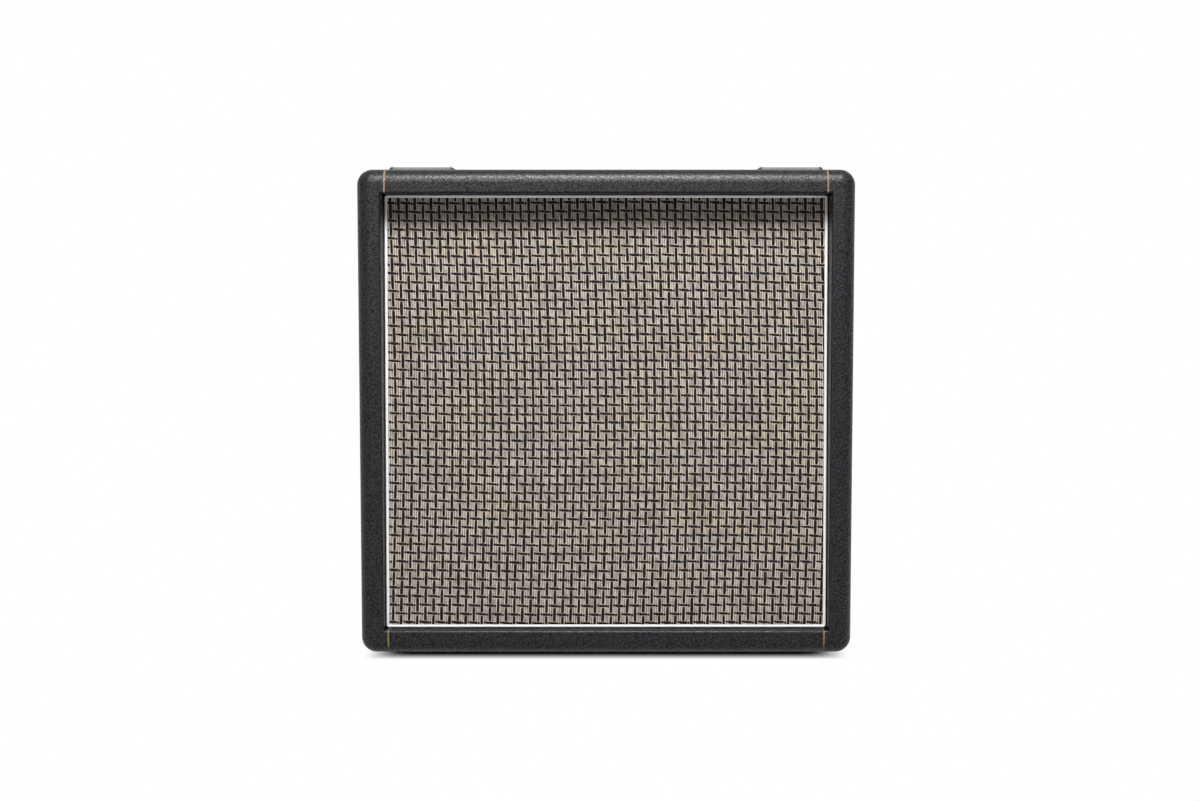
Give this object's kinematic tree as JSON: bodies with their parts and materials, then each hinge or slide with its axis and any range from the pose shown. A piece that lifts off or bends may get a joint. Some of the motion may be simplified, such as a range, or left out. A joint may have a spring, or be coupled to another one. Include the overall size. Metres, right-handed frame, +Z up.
{
  "type": "guitar speaker cabinet",
  "caption": "Straight-fronted guitar speaker cabinet: grained black covering, white piping round a leaning check cloth grille, dished cups on top, side handles and a rear jack.",
  "frame": {"origin": "on the floor under the middle of the cabinet", "axes": "+X to the right seen from the front, +Y to the back, +Z up; the grille faces -Y"},
  "size_m": [0.7804, 0.3658, 0.7704],
  "materials": {
    "plywood": "bare birch plywood and softwood",
    "grained_vinyl": "levant grained black leathercloth",
    "gold_string": "twisted gold string",
    "grille_cloth": "woven check in beige and black",
    "white_vinyl": "smooth white piping",
    "black_plastic": "moulded, fine satin",
    "brass_screw": "brassed",
    "black_screw": "blacked",
    "plated_steel": "zinc plated",
    "foot_rubber": "matte",
    "black_steel": "satin paint",
    "bright_nut": "nickel plated",
    "phenolic": "phenolic board",
    "lead_insulation": "two core lead",
    "ferrite": "sintered ferrite",
    "magnet_cover": "moulded cap",
    "gasket_cork": "cork board",
    "basket_paint": "grey paint",
    "cone_paper": "pressed paper",
    "copper_coil": "wound copper on its former",
    "suspension_cloth": "doped cloth"
  },
  "bodies": {
    "cabinet": {"back_panel": "plywood", "back_panel_screws": "black_screw", "baffle_battens": "plywood", "baffle_board": "plywood", "baffle_screws": "plated_steel", "bottom_panel": "plywood", "centre_post": "plywood", "covering_back": "grained_vinyl", "covering_bottom": "grained_vinyl", "covering_left": "grained_vinyl", "covering_right": "grained_vinyl", "covering_top": "grained_vinyl", "driver_bolts": "plated_steel", "driver_gaskets": "gasket_cork", "driver_magnet_covers": "magnet_cover", "driver_magnets": "ferrite", "driver_t_nuts": "plated_steel", "driver_top_plates": "plated_steel", "driver_yokes": "plated_steel", "foot_screws": "plated_steel", "front_frame_rails": "plywood", "grille_cloth": "grille_cloth", "grille_piping": "white_vinyl", "handle_left": "black_plastic", "handle_right": "black_plastic", "handle_screws": "black_screw", "jack_frame": "plated_steel", "jack_nut_and_washer": "bright_nut", "jack_plate": "black_steel", "jack_plate_screws": "black_screw", "jack_wafers": "phenolic", "lower_left_basket": "basket_paint", "lower_left_suspension": "suspension_cloth", "lower_right_basket": "basket_paint", "lower_right_suspension": "suspension_cloth", "rear_battens": "plywood", "rubber_feet": "foot_rubber", "seam_strings": "gold_string", "side_panel_left": "plywood", "side_panel_right": "plywood", "speaker_leads": "lead_insulation", "stacking_cup_front_left": "black_plastic", "stacking_cup_front_right": "black_plastic", "stacking_cup_rear_left": "black_plastic", "stacking_cup_rear_right": "black_plastic", "stacking_cup_screws": "brass_screw", "top_panel": "plywood", "upper_left_basket": "basket_paint", "upper_left_suspension": "suspension_cloth", "upper_right_basket": "basket_paint", "upper_right_suspension": "suspension_cloth"},
    "upper_left_moving": {"upper_left_cone": "cone_paper", "upper_left_voice_coil": "copper_coil"},
    "upper_right_moving": {"upper_right_cone": "cone_paper", "upper_right_voice_coil": "copper_coil"},
    "lower_left_moving": {"lower_left_cone": "cone_paper", "lower_left_voice_coil": "copper_coil"},
    "lower_right_moving": {"lower_right_cone": "cone_paper", "lower_right_voice_coil": "copper_coil"},
    "tip_spring": {"jack_tip_spring": "plated_steel"}
  },
  "joints": [
    {"name": "upper_left_cone_travel", "type": "slide", "parent": "cabinet", "child": "upper_left_moving", "axis": [0, -0.9995, 0.0323], "range_m": [-0.003, 0.003], "stiffness_N_per_m": 5000, "deforming": ["upper_left_suspension"]},
    {"name": "upper_right_cone_travel", "type": "slide", "parent": "cabinet", "child": "upper_right_moving", "axis": [0, -0.9995, 0.0323], "range_m": [-0.003, 0.003], "stiffness_N_per_m": 5000, "deforming": ["upper_right_suspension"]},
    {"name": "lower_left_cone_travel", "type": "slide", "parent": "cabinet", "child": "lower_left_moving", "axis": [0, -0.9995, 0.0323], "range_m": [-0.003, 0.003], "stiffness_N_per_m": 5000, "deforming": ["lower_left_suspension"]},
    {"name": "lower_right_cone_travel", "type": "slide", "parent": "cabinet", "child": "lower_right_moving", "axis": [0, -0.9995, 0.0323], "range_m": [-0.003, 0.003], "stiffness_N_per_m": 5000, "deforming": ["lower_right_suspension"]},
    {"name": "jack_tip_flex", "type": "hinge", "parent": "cabinet", "child": "tip_spring", "pos_m": [0, 0.1587, 0.22515], "axis": [-1, 0, 0], "range_deg": [0, 10], "stiffness_Nm_per_rad": 0.1}
  ]
}
